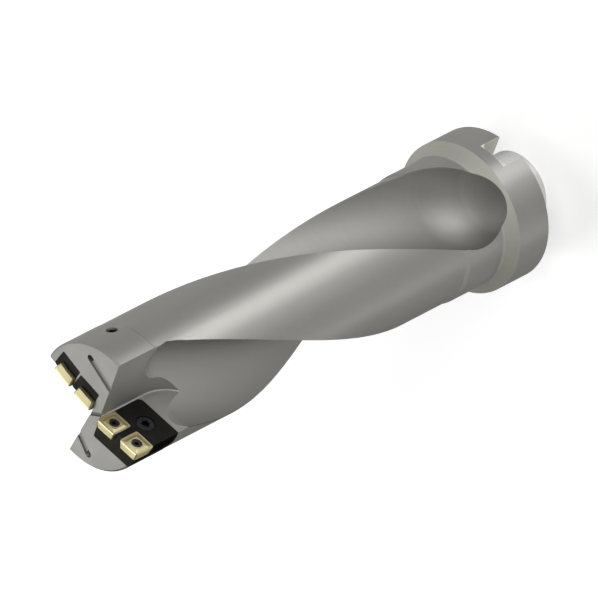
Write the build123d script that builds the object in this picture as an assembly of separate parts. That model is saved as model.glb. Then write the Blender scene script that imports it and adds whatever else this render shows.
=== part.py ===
from build123d import *
import os
from math import cos, pi, radians, sin, sqrt, tan

# Indexable drill of the cartridge kind, in millimetres.
# The tool axis is Z and the head points up. Z = 0 is the rear face of the flange, where the
# drill seats in its adapter, and the spigot hangs below it. X runs along the cutting edges
# of the wide cartridge, and Y is the direction that its inserts face.
# A point of the head is given by u, outward along the cutting edge, v, the way the insert
# faces, and a depth below the front face.

# Main sizes
HEAD_DIAMETER = 68.0
BODY_DIAMETER = 67.6
NECK_DIAMETER = 69.0
FLANGE_DIAMETER = 80.0
SPIGOT_DIAMETER = 40.0
SPIGOT_LENGTH = 21.0
REACH = 287.5
HEAD_LENGTH = 25.3
HEAD_RIM_CHAMFER = 1.0
HEAD_SEAM_WIDTH = 0.5
HEAD_SEAM_DEPTH = 0.35
NECK_TOP = 54.9
NECK_CHAMFER_LENGTH = 2.7
FLANGE_LENGTH = 28.2
FLANGE_RIM_LENGTH = 21.8
FLANGE_FILLET = 3.0
FLANGE_EDGE_CHAMFER = 1.0
SPIGOT_CHAMFER = 1.5

# Rear: the bore for the draw bolt and the two slots for the drive keys
BOLT_BORE_DIAMETER = 17.5
BOLT_BORE_DEPTH = 42.0
BOLT_BORE_CHAMFER = 1.5
DRILL_POINT_HALF_ANGLE = 59.0
DRIVE_SLOT_WIDTH = 16.3
DRIVE_SLOT_LENGTH = 14.5
DRIVE_SLOT_FLOOR_RADIUS = 24.0
DRIVE_SLOT_CORNER = 4.0

# Helical flutes: a round cutter whose centre runs on a helix, given for each flute by its
# radius, the radius of the helix and the angle that the helix would have at the front face
FLUTE_LEAD = 541.0
WIDE_FLUTE_RADIUS = 23.8
WIDE_FLUTE_PATH_RADIUS = 33.4
WIDE_FLUTE_ANGLE = 62.2
NARROW_FLUTE_RADIUS = 27.3
NARROW_FLUTE_PATH_RADIUS = 34.0
NARROW_FLUTE_ANGLE = 235.2
FLUTE_REAR_DEPTH = 237.0
FLUTE_FRONT_DEPTH = 34.4
FLUTE_FRONT_LENGTH = 22.8
FLUTE_FRONT_RISE = 0.144
FLUTE_FRONT_TURN = 0.051

# Straight chip pockets of the head
WIDE_POCKET_ANGLE = 0.0
WIDE_POCKET_WALL = 5.7
WIDE_POCKET_FLOOR = -1.8
NARROW_POCKET_ANGLE = 172.0
NARROW_POCKET_WALL = -0.6
INNER_FLOOR = 1.15
OUTER_FLOOR = 2.1
OUTER_FLOOR_ANGLE = 166.0
OUTER_FLOOR_FROM = 15.3
POCKET_STRAIGHT = 32.0
POCKET_ARC_RADIUS = 23.0
POCKET_CORNER_RADIUS = 0.8

# Inserts
INSERT_SIDE = 12.2
INSERT_THICKNESS = 4.8
INSERT_CORNER_RADIUS = 0.8
INSERT_EDGE_BOW = 0.15
INSERT_UPRIGHT_STRIP = 0.9
INSERT_FLANK_ANGLE = 11.0
INSERT_LEAD = 2.6
INSERT_PROUD = 0.1
RIM_WIDTH = 0.8
GROOVE_WALL = 0.1
GROOVE_FLOOR = 0.3
GROOVE_SLOPE = 1.3
GROOVE_DEPTH = 0.5
SEAT_CLEARANCE = 0.1

# Insert screws
INSERT_SCREW_HEAD = 4.9
INSERT_SCREW_SHANK = 3.4
INSERT_SCREW_LENGTH = 8.0
INSERT_SCREW_CONE = 1.1
INSERT_SCREW_RIM = 0.8
INSERT_SCREW_SINK = 0.3
INSERT_SCREW_STAR = 2.8
INSERT_HOLE_GAP = 0.3
INSERT_MOUTH_GAP = 0.4
STAR_DEPTH = 1.2
STAR_POINTS = 6
STAR_ROOT_SHARE = 0.72

# Cartridges
CARTRIDGE_LENGTH = 27.8
CARTRIDGE_GAP = 0.12
WIDE_CARTRIDGE_INNER = 6.1
WIDE_CARTRIDGE_BACK = -14.7
WIDE_CARTRIDGE_ROUND = 3.5
WIDE_CARTRIDGE_BACK_CHAMFER = 5.0
WIDE_CARTRIDGE_EDGE = 1.2
NARROW_CARTRIDGE_THICKNESS = 10.3
OUTER_CARTRIDGE_FROM = 16.1
OUTER_CARTRIDGE_TO = 29.5
INNER_CARTRIDGE_FROM = 0.4
INNER_CARTRIDGE_TO = 15.1
INNER_CARTRIDGE_LEAN = 6.0
NARROW_CARTRIDGE_ROUND = 1.5
NARROW_CARTRIDGE_EDGE = 0.7

# Where each insert's middle lies along its cutting edge
WIDE_INNER_INSERT_AT = 12.4
WIDE_OUTER_INSERT_AT = 28.4
OUTER_INSERT_AT = 21.2
INNER_INSERT_AT = 5.75

# Cartridge screws
CLAMP_HEAD = 9.5
CLAMP_HEAD_HEIGHT = 5.0
CLAMP_SINK = 0.3
CLAMP_SHANK = 6.0
CLAMP_THREAD_IN_BODY = 10.0
CLAMP_STAR = 5.2
CLAMP_STAR_DEPTH = 2.6
CLAMP_RIM_CHAMFER = 0.2
CLAMP_HOLE_GAP = 0.2
WIDE_CLAMP_AT = 20.7
WIDE_CLAMP_DEPTH = 17.6
NARROW_CLAMP_HEAD = 7.4
NARROW_CLAMP_HEAD_HEIGHT = 4.0
NARROW_CLAMP_SHANK = 5.0
NARROW_CLAMP_STAR = 4.8
NARROW_CLAMP_DEPTH = 19.0
NARROW_CLAMP_THREAD_IN_BODY = 7.0

# Coolant: a cross hole in each half, closed by a plug screw, feeds an outlet in the face
PLUG_ANGLE = 118.9
PLUG_DEPTH = 18.3
PLUG_DIAMETER = 6.0
PLUG_LENGTH = 6.0
PLUG_SINK = 1.2
PLUG_SOCKET = 3.0
PLUG_SOCKET_DEPTH = 2.5
CROSS_HOLE_DIAMETER = 5.0
CROSS_HOLE_FLOOR_RADIUS = 23.0
OUTLET_DIAMETER = 3.5
OUTLET_FOOT_RADIUS = 25.5
GROOVE_DEPTH_AT_FACE = 0.8
NARROW_SIDE_OUTLET = (-11.2, 23.9)
NARROW_SIDE_GROOVE_END = (8.6, 15.7)
WIDE_SIDE_OUTLET = (6.9, -26.8)
WIDE_SIDE_GROOVE_END = (-2.9, -19.6)

# Shallow relief across the web in the middle of the face
WEB_RELIEF_AT = (3.0, -2.4)
WEB_RELIEF_ANGLE = 34.5
WEB_RELIEF_WIDTH = 2.1
WEB_RELIEF_DEPTH = 0.8

HEAD_RADIUS = HEAD_DIAMETER / 2
BODY_RADIUS = BODY_DIAMETER / 2
NECK_RADIUS = NECK_DIAMETER / 2
FLANGE_RADIUS = FLANGE_DIAMETER / 2
SPIGOT_RADIUS = SPIGOT_DIAMETER / 2
HALF_TURN = 180.0
BEYOND = 5.0
OUTSIDE = FLANGE_RADIUS + BEYOND


def turned(angle):
    """Frame of a head station: u is X, v is Y, turned about the tool axis."""
    return Location((0, 0, 0), (0, 0, angle))


def polar(radius, angle, z):
    """Point at a radius and an angle about the tool axis."""
    return (radius * cos(radians(angle)), radius * sin(radians(angle)), z)


def block(u0, u1, v0, v1, depth0, depth1):
    """Box between two values of u, of v and of the depth below the front face."""
    size = (abs(u1 - u0), abs(v1 - v0), abs(depth1 - depth0))
    middle = ((u0 + u1) / 2, (v0 + v1) / 2, REACH - (depth0 + depth1) / 2)
    return Pos(*middle) * Box(*size)


def rod(start, end, diameter):
    """Round bar between two points."""
    axis = Vector(*end) - Vector(*start)
    plane = Plane(origin=start, z_dir=axis)
    return extrude(plane * Circle(diameter / 2), axis.length)


def turned_blank():
    """Solid of revolution that the whole body is cut from."""
    cone_foot = (NECK_RADIUS, FLANGE_LENGTH)
    seam = REACH - HEAD_LENGTH - HEAD_SEAM_WIDTH / 2
    outline = Polyline(
        (0, -SPIGOT_LENGTH),
        (SPIGOT_RADIUS - SPIGOT_CHAMFER, -SPIGOT_LENGTH),
        (SPIGOT_RADIUS, SPIGOT_CHAMFER - SPIGOT_LENGTH),
        (SPIGOT_RADIUS, 0),
        (FLANGE_RADIUS - FLANGE_EDGE_CHAMFER, 0),
        (FLANGE_RADIUS, FLANGE_EDGE_CHAMFER),
        (FLANGE_RADIUS, FLANGE_RIM_LENGTH),
        cone_foot,
        (NECK_RADIUS, NECK_TOP - NECK_CHAMFER_LENGTH),
        (BODY_RADIUS, NECK_TOP),
        (BODY_RADIUS, seam),
        (BODY_RADIUS - HEAD_SEAM_DEPTH, seam + HEAD_SEAM_WIDTH / 2),
        (HEAD_RADIUS, seam + HEAD_SEAM_WIDTH),
        (HEAD_RADIUS, REACH - HEAD_RIM_CHAMFER),
        (HEAD_RADIUS - HEAD_RIM_CHAMFER, REACH),
        (0, REACH),
        close=True,
    )
    profile = make_face(outline)
    foot = profile.vertices().sort_by_distance(cone_foot)[0]
    profile = fillet(foot, FLANGE_FILLET)
    return revolve(Plane.XZ * profile, Axis.Z)


def flute_end(radius, place, length, rise, turn):
    """Half ellipsoid that ends a flute, upward if length is positive and downward if not.

    Its axis leans outward by rise and forward by turn for each millimetre upward.
    """
    size = abs(length)
    quarter = Ellipse(radius, size) & Pos(radius / 2, size / 2) * Rectangle(radius, size)
    dome = revolve(Plane.XZ * quarter, Axis.Z)
    if length < 0:
        dome = Rot(180, 0, 0) * dome
    lean = Matrix([[1, 0, rise, 0], [0, 1, turn, 0], [0, 0, 1, 0], [0, 0, 0, 1]])
    return place * dome.transform_geometry(lean)


def flute_cutter(radius, path_radius, angle_at_face):
    """Volume of one helical flute: a round section carried along a helix, and its ends."""
    path = Helix(
        pitch=FLUTE_LEAD,
        height=FLUTE_REAR_DEPTH - FLUTE_FRONT_DEPTH,
        radius=path_radius,
        center=(0, 0, REACH - FLUTE_REAR_DEPTH),
    )
    places = []
    for depth in (FLUTE_REAR_DEPTH, FLUTE_FRONT_DEPTH):
        angle = angle_at_face - depth * 2 * HALF_TURN / FLUTE_LEAD
        places.append(turned(angle) * Pos(path_radius, 0, REACH - depth))
    path = turned(angle_at_face - FLUTE_REAR_DEPTH * 2 * HALF_TURN / FLUTE_LEAD) * path
    section = Plane(origin=path @ 0, z_dir=(0, 0, 1)) * Circle(radius)
    run = sweep(section, path=path, normal=(0, 0, 1))
    along_helix = 2 * pi * path_radius / FLUTE_LEAD
    rear = flute_end(radius, places[0], -radius, 0, along_helix)
    front = flute_end(radius, places[1], FLUTE_FRONT_LENGTH, FLUTE_FRONT_RISE, FLUTE_FRONT_TURN)
    return run + front + rear


def chip_pocket(wall, floor):
    """Straight chip space of the head: a wall that ends in an arc, and a flat floor."""
    arc_start = (wall, REACH - POCKET_STRAIGHT)
    arc_middle_angle = radians(45)
    arc_middle = (
        wall + POCKET_ARC_RADIUS * (1 - cos(arc_middle_angle)),
        REACH - POCKET_STRAIGHT - POCKET_ARC_RADIUS * sin(arc_middle_angle),
    )
    arc_end = (wall + POCKET_ARC_RADIUS, REACH - POCKET_STRAIGHT - POCKET_ARC_RADIUS)
    edges = [
        Line((wall, REACH + BEYOND), arc_start),
        ThreePointArc(arc_start, arc_middle, arc_end),
        Line(arc_end, (OUTSIDE, arc_end[1])),
        Line((OUTSIDE, arc_end[1]), (OUTSIDE, REACH + BEYOND)),
        Line((OUTSIDE, REACH + BEYOND), (wall, REACH + BEYOND)),
    ]
    plane = Plane(origin=(0, floor, 0), x_dir=(1, 0, 0), z_dir=(0, -1, 0))
    pocket = extrude(plane * make_face(edges), -(OUTSIDE - floor))
    corner = pocket.edges().filter_by_position(Axis.Y, floor, floor)
    corner = corner.filter_by(lambda e: e.center().X < arc_end[0] and e.center().Z < REACH)
    return fillet(corner, POCKET_CORNER_RADIUS)


def insert_face(grow):
    """Square with slightly bowed sides and round corners, larger all round by grow."""
    half = INSERT_SIDE / 2 - INSERT_EDGE_BOW + grow
    bow = half + INSERT_EDGE_BOW
    corners = [(-half, -half), (half, -half), (half, half), (-half, half)]
    middles = [(0, -bow), (bow, 0), (0, bow), (-bow, 0)]
    sides = []
    for i in range(4):
        sides.append(ThreePointArc(corners[i], middles[i], corners[(i + 1) % 4]))
    face = make_face(sides)
    return fillet(face.vertices(), INSERT_CORNER_RADIUS)


def insert_blank(grow):
    """Insert without recess or hole: an upright strip under the edge, then a leaning flank."""
    strip = extrude(insert_face(grow), -INSERT_UPRIGHT_STRIP)
    flank = INSERT_THICKNESS - INSERT_UPRIGHT_STRIP
    foot = Pos(0, 0, -INSERT_THICKNESS) * insert_face(grow - flank * tan(radians(INSERT_FLANK_ANGLE)))
    return strip + loft([foot, Pos(0, 0, -INSERT_UPRIGHT_STRIP) * insert_face(grow)])


def insert_screw_cone():
    """Countersunk part of an insert screw, or of its seat, below Z = 0."""
    head = INSERT_SCREW_HEAD / 2
    shank = INSERT_SCREW_SHANK / 2
    rim = -INSERT_SCREW_RIM
    cone = rim - INSERT_SCREW_CONE
    outline = Polyline((0, 0), (head, 0), (head, rim), (shank, cone), (0, cone), close=True)
    return revolve(Plane.XZ * make_face(outline), Axis.Z)


def star(size, depth):
    """Six-pointed drive recess under Z = 0, given by the circle round its points."""
    outline = []
    for i in range(2 * STAR_POINTS):
        reach = size / 2 if i % 2 == 0 else size / 2 * STAR_ROOT_SHARE
        outline.append(polar(reach, i * HALF_TURN / STAR_POINTS, 0))
    return extrude(make_face(Polyline(*outline, close=True)), -depth)


def insert_screw():
    """Countersunk screw with a star recess, its head at Z = 0."""
    shank = Pos(0, 0, -INSERT_SCREW_LENGTH / 2) * Cylinder(INSERT_SCREW_SHANK / 2, INSERT_SCREW_LENGTH)
    return insert_screw_cone() + shank - star(INSERT_SCREW_STAR, STAR_DEPTH)


def frustum(top, bottom, depth):
    """Solid with an insert's outline from Z = 0 down to a depth, given how much smaller it is."""
    return loft([Pos(0, 0, -depth) * insert_face(-bottom), insert_face(-top)])


def insert():
    """Square insert with a groove inside its cutting rim and a screw hole; rim at Z = 0."""
    wall = RIM_WIDTH + GROOVE_WALL
    foot = wall + GROOVE_FLOOR
    island = frustum(foot + GROOVE_SLOPE, foot, GROOVE_DEPTH)
    body = insert_blank(0) - (frustum(RIM_WIDTH, wall, GROOVE_DEPTH) - island)
    hole = INSERT_SCREW_SHANK / 2 + INSERT_HOLE_GAP
    body -= Pos(0, 0, -INSERT_THICKNESS / 2) * Cylinder(hole, INSERT_THICKNESS + BEYOND)
    body -= Pos(0, 0, -INSERT_SCREW_SINK) * insert_screw_cone()
    mouth = INSERT_SCREW_HEAD / 2 + INSERT_MOUTH_GAP
    return body - Cylinder(mouth, 2 * (INSERT_SCREW_SINK + INSERT_SCREW_RIM))


def at_insert(angle, along, face):
    """Place of an insert: its face looks along v and its front edge leads the head."""
    depth = INSERT_SIDE / 2 - INSERT_LEAD
    plane = Plane(origin=(along, face, REACH - depth), x_dir=(-1, 0, 0), z_dir=(0, 1, 0))
    return turned(angle) * plane.location


def insert_seat(angle, along, face):
    """What an insert and its screw take out of a cartridge."""
    blank = insert_blank(SEAT_CLEARANCE) + extrude(insert_face(SEAT_CLEARANCE), BEYOND)
    tapped = Pos(0, 0, -INSERT_SCREW_SINK - INSERT_SCREW_LENGTH / 2) * Cylinder(
        INSERT_SCREW_SHANK / 2, INSERT_SCREW_LENGTH
    )
    return at_insert(angle, along, face) * (blank + tapped)


def bevel_bar(size):
    """Long square bar on edge along X, which cuts a bevel of this size off a square edge."""
    return Rot(45, 0, 0) * Box(4 * OUTSIDE, size * sqrt(2), size * sqrt(2))


def plan_block(outline_corner, far_corner, back, top, round_corners, radius):
    """Block with some rear corners rounded, seen along v from u and height corners."""
    (u0, z0), (u1, z1) = outline_corner, far_corner
    face = make_face(Polyline((u0, z0), (u1, z0), (u1, z1), (u0, z1), close=True))
    rounded = [face.vertices().sort_by_distance((u, z0))[0] for u in round_corners]
    face = fillet(rounded, radius)
    plane = Plane(origin=(0, back, 0), x_dir=(1, 0, 0), z_dir=(0, -1, 0))
    return extrude(plane * face, back - top)


def wide_cartridge_block(gap):
    """Outline of the wide cartridge, larger by gap where its pocket leaves room."""
    rear = REACH - CARTRIDGE_LENGTH - gap
    inner = WIDE_CARTRIDGE_INNER - gap
    back = WIDE_CARTRIDGE_BACK
    top = WIDE_POCKET_FLOOR
    section = make_face(
        Polyline((inner, top), (OUTSIDE, top), (OUTSIDE, back), (inner, back), close=True)
    )
    edge = section.vertices().sort_by_distance((inner, back))[0]
    section = fillet(edge, WIDE_CARTRIDGE_EDGE)
    solid = plan_block((inner, rear), (OUTSIDE, REACH), back, top, [inner], WIDE_CARTRIDGE_ROUND)
    solid &= extrude(Pos(0, 0, rear) * section, REACH - rear)
    return solid - Pos(0, back, rear) * bevel_bar(WIDE_CARTRIDGE_BACK_CHAMFER)


def narrow_cartridge_block(start, end, lean, top, gap):
    """Outline of a narrow cartridge, larger by gap where its pocket leaves room.

    Its outer side leans in by an angle towards its back, and its long edges are rounded, but
    the pocket stays square at the floor of the chip space.
    """
    rear = REACH - CARTRIDGE_LENGTH - gap
    back = top - NARROW_CARTRIDGE_THICKNESS
    inner = start - gap
    outer = end + gap
    outer_back = outer - NARROW_CARTRIDGE_THICKNESS * tan(radians(lean))
    section = make_face(
        Polyline((inner, top), (outer, top), (outer_back, back), (inner, back), close=True)
    )
    corners = section.vertices() if gap == 0 else section.vertices().group_by(Axis.Y)[0]
    section = fillet(corners, NARROW_CARTRIDGE_EDGE)
    outline = plan_block((inner, rear), (outer, REACH), back, top, [inner, outer], NARROW_CARTRIDGE_ROUND)
    return outline & extrude(Pos(0, 0, rear) * section, REACH - rear)


def clamp_screw(head, head_height, shank, drive, length):
    """Cap screw with a star recess, the top of its head at Z = 0."""
    body = Pos(0, 0, -head_height / 2) * Cylinder(head / 2, head_height)
    body = chamfer(body.edges().group_by(Axis.Z)[-1], CLAMP_RIM_CHAMFER)
    body += Pos(0, 0, -length / 2) * Cylinder(shank / 2, length)
    return body - star(drive, CLAMP_STAR_DEPTH)


def clamp_hole(head, head_height, shank, length):
    """Counterbore and hole for a cap screw, its head's top at Z = 0."""
    mouth = Pos(0, 0, (BEYOND - head_height) / 2) * Cylinder(
        head / 2 + CLAMP_HOLE_GAP, BEYOND + head_height
    )
    return mouth + Pos(0, 0, -length / 2) * Cylinder(shank / 2, length)


def at_clamp(angle, along, top, depth):
    """Place of a cartridge screw, its head just below the top of the cartridge."""
    origin = (along, top - CLAMP_SINK, REACH - depth)
    return turned(angle) * Plane(origin=origin, x_dir=(-1, 0, 0), z_dir=(0, 1, 0)).location


def cross_hole():
    """Radial coolant hole of the narrow side, with the wider thread of its plug."""
    z = REACH - PLUG_DEPTH
    floor = polar(CROSS_HOLE_FLOOR_RADIUS, PLUG_ANGLE, z)
    plug_floor = polar(HEAD_RADIUS - PLUG_SINK - PLUG_LENGTH, PLUG_ANGLE, z)
    mouth = polar(OUTSIDE, PLUG_ANGLE, z)
    return [rod(plug_floor, mouth, PLUG_DIAMETER), rod(floor, mouth, CROSS_HOLE_DIAMETER)]


def outlet_and_groove(foot_angle, outlet, groove_end):
    """Coolant outlet in the front face and the shallow groove that leads from it."""
    foot = Vector(*polar(OUTLET_FOOT_RADIUS, foot_angle, REACH - PLUG_DEPTH))
    start = Vector(*outlet, REACH)
    beyond = start + (start - foot).normalized() * BEYOND
    run = Vector(*groove_end, REACH) - start
    groove = Pos(run.length / 2, 0) * Rectangle(run.length, OUTLET_DIAMETER)
    groove += Circle(OUTLET_DIAMETER / 2)
    groove = Plane(origin=start, x_dir=run, z_dir=(0, 0, 1)) * groove
    return [rod(foot, beyond, OUTLET_DIAMETER), extrude(groove, -GROOVE_DEPTH_AT_FACE)]


def web_relief():
    """Shallow one-sided notch across the web in the middle of the front face."""
    half = WEB_RELIEF_WIDTH / 2
    outline = Polyline(
        (-half, -WEB_RELIEF_DEPTH), (-half, BEYOND), (half, BEYOND), (half, 0), close=True
    )
    bar = extrude(Plane.YZ * make_face(outline), OUTSIDE / 3, both=True)
    return Pos(*WEB_RELIEF_AT, REACH) * Rot(0, 0, WEB_RELIEF_ANGLE) * bar & web_zone()


def web_zone():
    """Space between the cartridges, so that the relief stays on the web."""
    return block(-HEAD_RADIUS, WIDE_CARTRIDGE_INNER, -HEAD_RADIUS, HEAD_RADIUS, -BEYOND, BEYOND)


def plug_screw():
    """Set screw that closes the cross hole, just below the surface of the head."""
    z = REACH - PLUG_DEPTH
    top = HEAD_RADIUS - PLUG_SINK
    outer = polar(top, PLUG_ANGLE, z)
    inner = polar(top - PLUG_LENGTH, PLUG_ANGLE, z)
    plane = Plane(origin=outer, z_dir=Vector(*outer) - Vector(*inner))
    socket = plane * RegularPolygon(PLUG_SOCKET / 2, 6, major_radius=False)
    return rod(inner, outer, PLUG_DIAMETER) - extrude(socket, -PLUG_SOCKET_DEPTH)


def drive_slot():
    """Slot for one drive key, open to the rear and to the rim of the flange."""
    half = DRIVE_SLOT_WIDTH / 2
    outline = Polyline(
        (-half, -BEYOND), (half, -BEYOND), (half, DRIVE_SLOT_LENGTH), (-half, DRIVE_SLOT_LENGTH), close=True
    )
    face = make_face(outline)
    face = fillet(face.vertices().group_by(Axis.Y)[-1], DRIVE_SLOT_CORNER)
    plane = Plane(origin=(0, DRIVE_SLOT_FLOOR_RADIUS, 0), x_dir=(1, 0, 0), z_dir=(0, -1, 0))
    return extrude(plane * face, -(OUTSIDE - DRIVE_SLOT_FLOOR_RADIUS))


def bolt_bore():
    """Bore for the draw bolt, with a chamfered mouth and a drilled point."""
    radius = BOLT_BORE_DIAMETER / 2
    foot = -SPIGOT_LENGTH
    top = foot + BOLT_BORE_DEPTH
    point = radius / tan(radians(DRILL_POINT_HALF_ANGLE))
    mouth = radius + BOLT_BORE_CHAMFER
    outline = Polyline(
        (0, foot - BEYOND),
        (mouth, foot - BEYOND),
        (mouth, foot),
        (radius, foot + BOLT_BORE_CHAMFER),
        (radius, top),
        (0, top + point),
        close=True,
    )
    return revolve(Plane.XZ * make_face(outline), Axis.Z)


INSERTS = {
    "insert_wide_inner": (WIDE_POCKET_ANGLE, WIDE_INNER_INSERT_AT, WIDE_POCKET_FLOOR + INSERT_PROUD),
    "insert_wide_outer": (WIDE_POCKET_ANGLE, WIDE_OUTER_INSERT_AT, WIDE_POCKET_FLOOR + INSERT_PROUD),
    "insert_outer": (OUTER_FLOOR_ANGLE, OUTER_INSERT_AT, OUTER_FLOOR + INSERT_PROUD),
    "insert_inner": (NARROW_POCKET_ANGLE, INNER_INSERT_AT, INNER_FLOOR + INSERT_PROUD),
}
NARROW_CARTRIDGES = {
    "outer": (OUTER_FLOOR_ANGLE, OUTER_CARTRIDGE_FROM, OUTER_CARTRIDGE_TO, 0, OUTER_FLOOR),
    "inner": (
        NARROW_POCKET_ANGLE,
        INNER_CARTRIDGE_FROM,
        INNER_CARTRIDGE_TO,
        INNER_CARTRIDGE_LEAN,
        INNER_FLOOR,
    ),
}

WIDE_CLAMP_LENGTH = WIDE_POCKET_FLOOR - CLAMP_SINK - WIDE_CARTRIDGE_BACK + CLAMP_THREAD_IN_BODY
NARROW_CLAMP_LENGTH = NARROW_CARTRIDGE_THICKNESS - CLAMP_SINK + NARROW_CLAMP_THREAD_IN_BODY
WIDE_CLAMP = (CLAMP_HEAD, CLAMP_HEAD_HEIGHT, CLAMP_SHANK)
NARROW_CLAMP = (NARROW_CLAMP_HEAD, NARROW_CLAMP_HEAD_HEIGHT, NARROW_CLAMP_SHANK)
CLAMP_PLACES = {"wide": at_clamp(WIDE_POCKET_ANGLE, WIDE_CLAMP_AT, WIDE_POCKET_FLOOR, WIDE_CLAMP_DEPTH)}
for side, (turn, start, end, _, top) in NARROW_CARTRIDGES.items():
    CLAMP_PLACES[side] = at_clamp(turn, (start + end) / 2, top, NARROW_CLAMP_DEPTH)


def clamp_hole_of(name):
    if name == "wide":
        return CLAMP_PLACES[name] * clamp_hole(*WIDE_CLAMP, WIDE_CLAMP_LENGTH)
    return CLAMP_PLACES[name] * clamp_hole(*NARROW_CLAMP, NARROW_CLAMP_LENGTH)


def clamp_screw_of(name):
    if name == "wide":
        return CLAMP_PLACES[name] * clamp_screw(*WIDE_CLAMP, CLAMP_STAR, WIDE_CLAMP_LENGTH)
    return CLAMP_PLACES[name] * clamp_screw(*NARROW_CLAMP, NARROW_CLAMP_STAR, NARROW_CLAMP_LENGTH)


def wide_cartridge():
    """Wide cartridge: two inserts side by side and one screw behind them."""
    skin = Pos(0, 0, REACH) * Cylinder(HEAD_RADIUS, 3 * CARTRIDGE_LENGTH)
    solid = turned(WIDE_POCKET_ANGLE) * wide_cartridge_block(0) & skin
    for name in ("insert_wide_inner", "insert_wide_outer"):
        solid -= insert_seat(*INSERTS[name])
    return solid - clamp_hole_of("wide")


def narrow_cartridge(name):
    """Narrow cartridge: one insert and one screw behind it."""
    angle, *sizes = NARROW_CARTRIDGES[name]
    solid = turned(angle) * narrow_cartridge_block(*sizes, 0)
    solid -= insert_seat(*INSERTS["insert_" + name])
    return solid - clamp_hole_of(name)


def chip_pockets():
    """Straight chip spaces of both halves of the head."""
    wide = turned(WIDE_POCKET_ANGLE) * chip_pocket(WIDE_POCKET_WALL, WIDE_POCKET_FLOOR)
    narrow = turned(NARROW_POCKET_ANGLE) * chip_pocket(NARROW_POCKET_WALL, INNER_FLOOR)
    deeper = chip_pocket(NARROW_POCKET_WALL, OUTER_FLOOR)
    deeper &= block(OUTER_FLOOR_FROM, OUTSIDE, -OUTSIDE, OUTSIDE, -BEYOND, 4 * POCKET_STRAIGHT)
    return [wide, narrow, turned(OUTER_FLOOR_ANGLE) * deeper]


def drill_body():
    """Head, fluted body, neck, flange and spigot, all one piece of steel."""
    body = turned_blank()
    body -= flute_cutter(WIDE_FLUTE_RADIUS, WIDE_FLUTE_PATH_RADIUS, WIDE_FLUTE_ANGLE)
    body -= flute_cutter(NARROW_FLUTE_RADIUS, NARROW_FLUTE_PATH_RADIUS, NARROW_FLUTE_ANGLE)
    for pocket in chip_pockets():
        body -= pocket
    body -= turned(WIDE_POCKET_ANGLE) * wide_cartridge_block(CARTRIDGE_GAP)
    for angle, *sizes in NARROW_CARTRIDGES.values():
        body -= turned(angle) * narrow_cartridge_block(*sizes, CARTRIDGE_GAP)
    for place in INSERTS.values():
        body -= insert_seat(*place)
    for name in CLAMP_PLACES:
        body -= clamp_hole_of(name)
    body -= outlet_and_groove(PLUG_ANGLE, NARROW_SIDE_OUTLET, NARROW_SIDE_GROOVE_END)
    body -= outlet_and_groove(PLUG_ANGLE + HALF_TURN, WIDE_SIDE_OUTLET, WIDE_SIDE_GROOVE_END)
    body -= web_relief()
    for angle in (0, HALF_TURN):
        body -= [turned(angle) * hole for hole in cross_hole()]
        body -= turned(angle) * drive_slot()
    return body - bolt_bore()


def pieces():
    """Every piece of the drill under its own name."""
    made = {"drill_body": drill_body(), "cartridge_wide": wide_cartridge()}
    for name in NARROW_CARTRIDGES:
        made["cartridge_" + name] = narrow_cartridge(name)
    for name, place in INSERTS.items():
        here = at_insert(*place)
        made[name] = here * insert()
        made[name.replace("insert", "insert_screw")] = here * Pos(0, 0, -INSERT_SCREW_SINK) * insert_screw()
    for name in CLAMP_PLACES:
        made["cartridge_screw_" + name] = clamp_screw_of(name)
    made["coolant_plug_a"] = plug_screw()
    made["coolant_plug_b"] = turned(HALF_TURN) * plug_screw()
    return made


os.makedirs("parts", exist_ok=True)
for node, shape in pieces().items():
    shape.label = node
    export_step(shape, f"parts/{node}.step")
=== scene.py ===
import math
import bpy
from mathutils import Matrix, Vector


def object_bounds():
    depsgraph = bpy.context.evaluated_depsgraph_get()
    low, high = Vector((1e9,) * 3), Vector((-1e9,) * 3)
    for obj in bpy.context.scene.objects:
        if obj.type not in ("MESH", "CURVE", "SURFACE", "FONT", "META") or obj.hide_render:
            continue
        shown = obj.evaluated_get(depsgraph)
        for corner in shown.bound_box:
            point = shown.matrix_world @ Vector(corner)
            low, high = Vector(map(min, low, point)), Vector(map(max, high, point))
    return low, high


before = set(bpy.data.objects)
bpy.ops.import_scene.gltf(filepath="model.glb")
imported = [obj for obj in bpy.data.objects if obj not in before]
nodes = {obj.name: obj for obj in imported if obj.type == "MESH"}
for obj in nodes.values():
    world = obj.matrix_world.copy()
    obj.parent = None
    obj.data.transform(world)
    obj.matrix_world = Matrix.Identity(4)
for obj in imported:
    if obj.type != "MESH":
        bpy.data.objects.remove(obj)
cad_box = [list(corner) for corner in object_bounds()]
scene = bpy.context.scene

# Lengths are in metres, apart from the camera's lens and sensor, which are in millimetres. Z is
# the tool axis, and z = 0 is the flange's rear seating face. Colours are linear.

# The camera stands far off with a long lens, so that parallel edges stay parallel.
CAMERA_LENS = 1600.0
CAMERA_SENSOR = 36.0
CAMERA_CLIP = (0.5, 60.0)
CAMERA_RIGHT = Vector((0.68552, 0.26966, -0.67627))
CAMERA_UP = Vector((-0.62057, 0.70218, -0.34906))
CAMERA_PLACE = Vector((4.95886, 8.58397, 8.58879))

WHITE = (1, 1, 1, 1)
FLOOR_HALF = 12.0
FLOOR_BELOW = 0.0002
FLOOR_COLOUR = (0.85, 0.85, 0.85, 1)
FLOOR_GLOW = 0.42
WORLD_STRENGTH = 0.05

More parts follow.
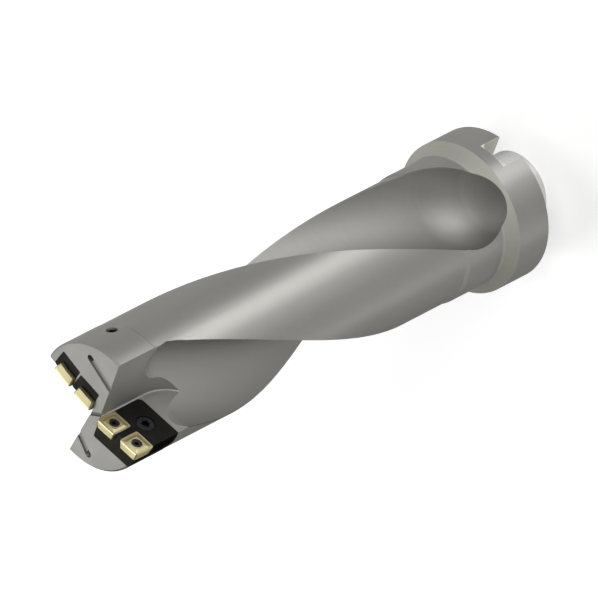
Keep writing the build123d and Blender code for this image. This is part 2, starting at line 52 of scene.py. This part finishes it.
# Each lamp: name, azimuth and elevation in degrees, width and height, power in watts.
LAMP_AIM = Vector((0.0, 0.0, 0.14))
LAMP_DISTANCE = 2.0
LAMPS = (
    ("key", 85, 12, 0.85, 1.2, 20.0),
    ("right", 0, 45, 1.3, 1.3, 5.0),
    ("fill", 66, 40, 1.3, 1.3, 14.0),
    ("back", 178, 45, 0.9, 1.2, 9.0),
    ("front", 240, 45, 0.9, 1.2, 14.5),
    ("rim", 200, 12, 0.9, 1.2, 4.5),
    ("side", -2, 12, 0.4, 1.2, 2.6),
)

# Where each finish of the body starts and where it is full. "Radius" is the distance from the
# tool axis, "height" is z, and "facing up" is the Z part of the surface's normal.
LAND_RADIUS = (0.0332, 0.0336)
FLUTE_RADIUS = (0.0334, 0.0332)
FLUTE_TOP_HEIGHT = (0.27, 0.26)
FLUTE_END_HEIGHT = (0.03, 0.031)
UPRIGHT_FACING = (0.3, 0.15)
SLOT_TOP_HEIGHT = (0.0144, 0.0146)
SLOT_HALF_WIDTH = (0.0082, 0.0083)
SLOT_INNER_RADIUS = (0.0235, 0.0245)
SPIGOT_HEIGHT = (-0.0002, -0.0006)
BORE_RADIUS = (0.012, 0.0125)
CONE_FACING = (0.25, 0.4)
CONE_TOP_HEIGHT = (0.0285, 0.0283)
CONE_SLOPE = 0.86
CONE_LINE = (0.0583, 0.0585)
GROOVE_LOW_HEIGHT = (0.2864, 0.2865)
GROOVE_HIGH_HEIGHT = (0.28745, 0.28735)
GROOVE_FACING = (0.8, 0.9)

SATIN_DARK = (0.335, 0.330, 0.313, 1)
SATIN_LIGHT = (0.365, 0.359, 0.341, 1)
CONE_COLOUR = (0.49, 0.485, 0.44, 1)
SLOT_COLOUR = (0.68, 0.675, 0.63, 1)
# Painted shade: the groove floor just below the end face is darkened to stand in for the shade in that
# recess.
GROOVE_SHADE_COLOUR = (0.25, 0.246, 0.232, 1)
# Painted shade: the flutes take half of this darker colour, standing in for the shade inside the hollow
# flutes.
FLUTE_SHADE_COLOUR = (0.29, 0.284, 0.268, 1)
GROUND_COLOUR = (0.64, 0.64, 0.63, 1)
FLUTE_SHADE_SHARE = 0.5

STEEL_ROUGHNESS = 0.62
TURNED_SMOOTHER = -0.12
GROUND_SMOOTHER = -0.22
CONE_ROUGHER = 0.16
TURNED_ANISOTROPY = 0.88
ANISOTROPY_TURN = 0.25
MILLED_EDGE_TINT = (0.05, 0.05, 0.05, 1)
TURNED_EDGE_TINT = (0.4, 0.4, 0.4, 1)
COAT_EDGE_TINT = (0.1, 0.1, 0.1, 1)

# Noise stays near its middle, so this part of it is stretched over the whole range.
NOISE_RANGE = (0.3, 0.7)
FINE_DETAIL = 2.0
CLOUD_SCALE, CLOUD_DETAIL = 26.0, 3.0
COAT_CLOUD_SCALE, COAT_CLOUD_DETAIL = 150.0, 4.0
COAT_WEAR = 0.04
GRAIN_SCALE, GRAIN_WEAR = 2600.0, 0.015
GRAIN_STRENGTH, GRAIN_DEPTH = 0.12, 0.00003
# The turning marks run round the axis, because their noise changes fastest along Z.
TURNING_SCALE, TURNING_DETAIL, TURNING_STRETCH = 60.0, 3.0, (1.0, 1.0, 60.0)
TURNING_WEAR = 0.025
TURNING_STRENGTH, TURNING_DEPTH = 0.10, 0.00004


def make_camera():
    """Camera at the photograph's viewing angle."""
    right = CAMERA_RIGHT.normalized()
    back = right.cross(CAMERA_UP).normalized()
    up = back.cross(right)
    data = bpy.data.cameras.new("camera")
    data.lens = CAMERA_LENS
    data.sensor_width = CAMERA_SENSOR
    data.clip_start, data.clip_end = CAMERA_CLIP
    camera = bpy.data.objects.new("camera", data)
    turn = Matrix((right, up, back)).transposed().to_4x4()
    camera.matrix_world = Matrix.Translation(CAMERA_PLACE) @ turn
    scene.collection.objects.link(camera)
    scene.camera = camera


class Tree:
    """Node tree of one material, with short calls to add and join its nodes."""

    def __init__(self, name):
        self.material = bpy.data.materials.new(name)
        self.material.use_nodes = True
        self.tree = self.material.node_tree
        self.tree.nodes.clear()
        self.out = self.add("ShaderNodeOutputMaterial")

    def add(self, kind, settings=None, **inputs):
        """New node; an input's name is written with _ for each space."""
        node = self.tree.nodes.new(kind)
        for name, value in (settings or {}).items():
            setattr(node, name, value)
        for name, value in inputs.items():
            self.set(node, name.replace("_", " "), value)
        return node

    def set(self, node, name, value):
        """Link a socket to the input, or write a plain value on it."""
        socket = node.inputs[name]
        if isinstance(value, bpy.types.NodeSocket):
            self.tree.links.new(value, socket)
        else:
            socket.default_value = value

    def math(self, operation, *values):
        node = self.add("ShaderNodeMath", {"operation": operation})
        for i, value in enumerate(values):
            self.set(node, i, value)
        return node.outputs[0]

    def split(self, vector):
        return self.add("ShaderNodeSeparateXYZ", Vector=vector).outputs

    def place(self):
        return self.add("ShaderNodeTexCoord").outputs["Object"]

    def noise(self, scale, detail=FINE_DETAIL, stretch=(1.0, 1.0, 1.0)):
        mapping = self.add("ShaderNodeMapping", Vector=self.place(), Scale=stretch)
        node = self.add("ShaderNodeTexNoise", Vector=mapping.outputs[0], Scale=scale, Detail=detail)
        return node.outputs["Fac"]

    def ramp(self, value, start, end, to_start=0.0, to_end=1.0):
        """Value mapped from start..end to to_start..to_end, and held beyond both."""
        node = self.add("ShaderNodeMapRange", Value=value, From_Min=start, From_Max=end,
                        To_Min=to_start, To_Max=to_end)
        return node.outputs["Result"]

    def spread(self, noise, middle, half):
        """Noise as a number that swings by half on both sides of middle."""
        return self.ramp(noise, *NOISE_RANGE, middle - half, middle + half)

    def all_of(self, first, *others):
        """Mask where all the given masks hold."""
        for mask in others:
            first = self.math("MULTIPLY", first, mask)
        return first

    def blend(self, factor, first, second):
        node = self.add("ShaderNodeMix", {"data_type": "RGBA"})
        for i, value in ((0, factor), (6, first), (7, second)):
            self.set(node, i, value)
        return node.outputs[2]

    def bump(self, height, strength, distance, normal=None):
        node = self.add("ShaderNodeBump", Height=height, Strength=strength, Distance=distance)
        if normal:
            self.set(node, "Normal", normal)
        return node.outputs["Normal"]

    def finish(self, shader):
        self.set(self.out, "Surface", shader.outputs[0])
        return self.material


def steel_masks(tree):
    """Masks of the body's areas: turned, ground, cone, slots, groove and milled."""
    x, y, height = tree.split(tree.place())
    squares = [tree.math("POWER", side, 2.0) for side in (x, y)]
    radius = tree.math("SQRT", tree.math("ADD", *squares))
    facing_up = tree.split(tree.add("ShaderNodeNewGeometry").outputs["Normal"])["Z"]
    in_flute = tree.ramp(radius, *FLUTE_RADIUS)

    ground = tree.all_of(tree.ramp(height, *SPIGOT_HEIGHT), tree.ramp(radius, *BORE_RADIUS))
    off_slots = tree.math("MAXIMUM", tree.ramp(height, *SLOT_TOP_HEIGHT),
                          tree.ramp(tree.math("ABSOLUTE", x), *SLOT_HALF_WIDTH))
    outside = tree.all_of(tree.ramp(radius, *LAND_RADIUS), tree.ramp(facing_up, *UPRIGHT_FACING),
                          off_slots)
    turned = tree.math("MAXIMUM", outside, ground)
    # The flange's cone lies past a sloping line, which keeps out the flute's run-out.
    past_line = tree.ramp(tree.math("MULTIPLY_ADD", height, CONE_SLOPE, radius), *CONE_LINE)
    cone = tree.all_of(tree.ramp(facing_up, *CONE_FACING), tree.ramp(height, *CONE_TOP_HEIGHT),
                       past_line)
    slots = tree.all_of(tree.math("SUBTRACT", 1.0, off_slots),
                        tree.ramp(radius, *SLOT_INNER_RADIUS))
    groove = tree.all_of(tree.ramp(height, *GROOVE_LOW_HEIGHT),
                         tree.ramp(height, *GROOVE_HIGH_HEIGHT),
                         tree.ramp(facing_up, *GROOVE_FACING), in_flute)
    milled = tree.all_of(tree.ramp(height, *FLUTE_TOP_HEIGHT),
                         tree.ramp(height, *FLUTE_END_HEIGHT), in_flute)
    return turned, ground, cone, slots, groove, milled


def steel_material():
    """Satin nickel on steel: turned outside, milled in the flutes, ground on the spigot; painted shade
    darkens the flutes and the groove floor.
    """
    tree = Tree("satin_steel")
    turned, ground, cone, slots, groove, milled = steel_masks(tree)
    cloud = tree.noise(CLOUD_SCALE, CLOUD_DETAIL)
    grain = tree.noise(GRAIN_SCALE)
    turning = tree.noise(TURNING_SCALE, TURNING_DETAIL, TURNING_STRETCH)

    colour = tree.blend(cloud, SATIN_DARK, SATIN_LIGHT)
    # The groove and flute colours here are painted shade, darkening the recessed groove floor and the
    # hollow flutes.
    for mask, shade in ((cone, CONE_COLOUR), (slots, SLOT_COLOUR), (groove, GROOVE_SHADE_COLOUR),
                        (tree.math("MULTIPLY", milled, FLUTE_SHADE_SHARE), FLUTE_SHADE_COLOUR),
                        (ground, GROUND_COLOUR)):
        colour = tree.blend(mask, colour, shade)

    rough = tree.math("ADD", tree.spread(turning, STEEL_ROUGHNESS, TURNING_WEAR),
                      tree.spread(grain, 0.0, GRAIN_WEAR))
    for mask, change in ((turned, TURNED_SMOOTHER), (ground, GROUND_SMOOTHER), (cone, CONE_ROUGHER)):
        rough = tree.math("MULTIPLY_ADD", mask, change, rough)

    normal = tree.bump(grain, GRAIN_STRENGTH, GRAIN_DEPTH)
    normal = tree.bump(turning, TURNING_STRENGTH, TURNING_DEPTH, normal)
    tangent = tree.add("ShaderNodeTangent", {"direction_type": "RADIAL", "axis": "Z"})
    return tree.finish(tree.add(
        "ShaderNodeBsdfPrincipled", Base_Color=colour, Metallic=1.0, Roughness=rough, Normal=normal,
        Anisotropic=tree.math("MULTIPLY", turned, TURNED_ANISOTROPY),
        Anisotropic_Rotation=ANISOTROPY_TURN, Tangent=tangent.outputs[0],
        Specular_Tint=tree.blend(turned, MILLED_EDGE_TINT, TURNED_EDGE_TINT)))


def coated_material(name, dark, light, rough, grain_scale, grain_strength):
    """Coated or blackened metal: two close colours in clouds, fine grain and soft wear."""
    tree = Tree(name)
    cloud = tree.noise(COAT_CLOUD_SCALE, COAT_CLOUD_DETAIL)
    grain = tree.noise(grain_scale)
    return tree.finish(tree.add(
        "ShaderNodeBsdfPrincipled", Metallic=1.0, Specular_Tint=COAT_EDGE_TINT,
        Base_Color=tree.blend(tree.ramp(cloud, *NOISE_RANGE), dark, light),
        Roughness=tree.spread(grain, rough, COAT_WEAR),
        Normal=tree.bump(grain, grain_strength, GRAIN_DEPTH)))


def dress_nodes():
    """One material for each piece of the drill, by what its name starts with."""
    steel = steel_material()
    black = coated_material("black_oxide", (0.018, 0.018, 0.016, 1), (0.026, 0.025, 0.023, 1),
                            rough=0.52, grain_scale=2200.0, grain_strength=0.2)
    gold = coated_material("gold_carbide", (0.48, 0.435, 0.25, 1), (0.56, 0.51, 0.305, 1),
                           rough=0.42, grain_scale=3000.0, grain_strength=0.15)
    dark = coated_material("dark_screw", (0.045, 0.045, 0.050, 1), (0.06, 0.06, 0.066, 1),
                           rough=0.38, grain_scale=2600.0, grain_strength=0.15)
    finishes = {"drill_body": steel, "cartridge_screw": dark, "insert_screw": dark,
                "coolant_plug": dark, "cartridge": black, "insert": gold}
    for name, node in nodes.items():
        start = next(start for start in finishes if name.startswith(start))
        node.data.materials.clear()
        node.data.materials.append(finishes[start])


def floor_material():
    """Pale matt floor that camera, mirror and glass rays see as white."""
    tree = Tree("floor")
    paths = tree.add("ShaderNodeLightPath").outputs
    mirrored = tree.math("MAXIMUM", paths["Is Glossy Ray"], paths["Is Transmission Ray"])
    seen = tree.math("MAXIMUM", paths["Is Camera Ray"], mirrored)
    cloth = tree.add("ShaderNodeBsdfDiffuse", Color=FLOOR_COLOUR)
    glow = tree.add("ShaderNodeEmission", Color=WHITE, Strength=tree.math("MULTIPLY", seen, FLOOR_GLOW))
    both = tree.add("ShaderNodeAddShader")
    for i, shader in enumerate((cloth, glow)):
        tree.set(both, i, shader.outputs[0])
    return tree.finish(both)


def make_floor():
    """Plain floor that keeps the soft shadow of the drill."""
    mesh = bpy.data.meshes.new("floor")
    z = cad_box[0][2] - FLOOR_BELOW
    half = FLOOR_HALF
    corners = [(-half, -half, z), (half, -half, z), (half, half, z), (-half, half, z)]
    mesh.from_pydata(corners, [], [(0, 1, 2, 3)])
    mesh.materials.append(floor_material())
    floor = bpy.data.objects.new("floor", mesh)
    scene.collection.objects.link(floor)


def make_world():
    world = bpy.data.worlds.new("studio")
    world.use_nodes = True
    scene.world = world
    background = world.node_tree.nodes["Background"]
    background.inputs["Color"].default_value = WHITE
    background.inputs["Strength"].default_value = WORLD_STRENGTH


def make_lamp(name, azimuth, elevation, width, height, power):
    """Soft rectangular lamp that faces the middle of the drill."""
    around, above = math.radians(azimuth), math.radians(elevation)
    toward = Vector((math.cos(around) * math.cos(above), math.sin(around) * math.cos(above),
                     math.sin(above)))
    data = bpy.data.lights.new(name, "AREA")
    data.shape = "RECTANGLE"
    data.size, data.size_y = width, height
    data.energy = power
    lamp = bpy.data.objects.new(name, data)
    lamp.location = LAMP_AIM + toward * LAMP_DISTANCE
    lamp.rotation_mode = "QUATERNION"
    lamp.rotation_quaternion = (-toward).to_track_quat("-Z", "Y")
    scene.collection.objects.link(lamp)


make_camera()
dress_nodes()
make_floor()
make_world()
for lamp_values in LAMPS:
    make_lamp(*lamp_values)

scene.view_settings.view_transform = "Standard"
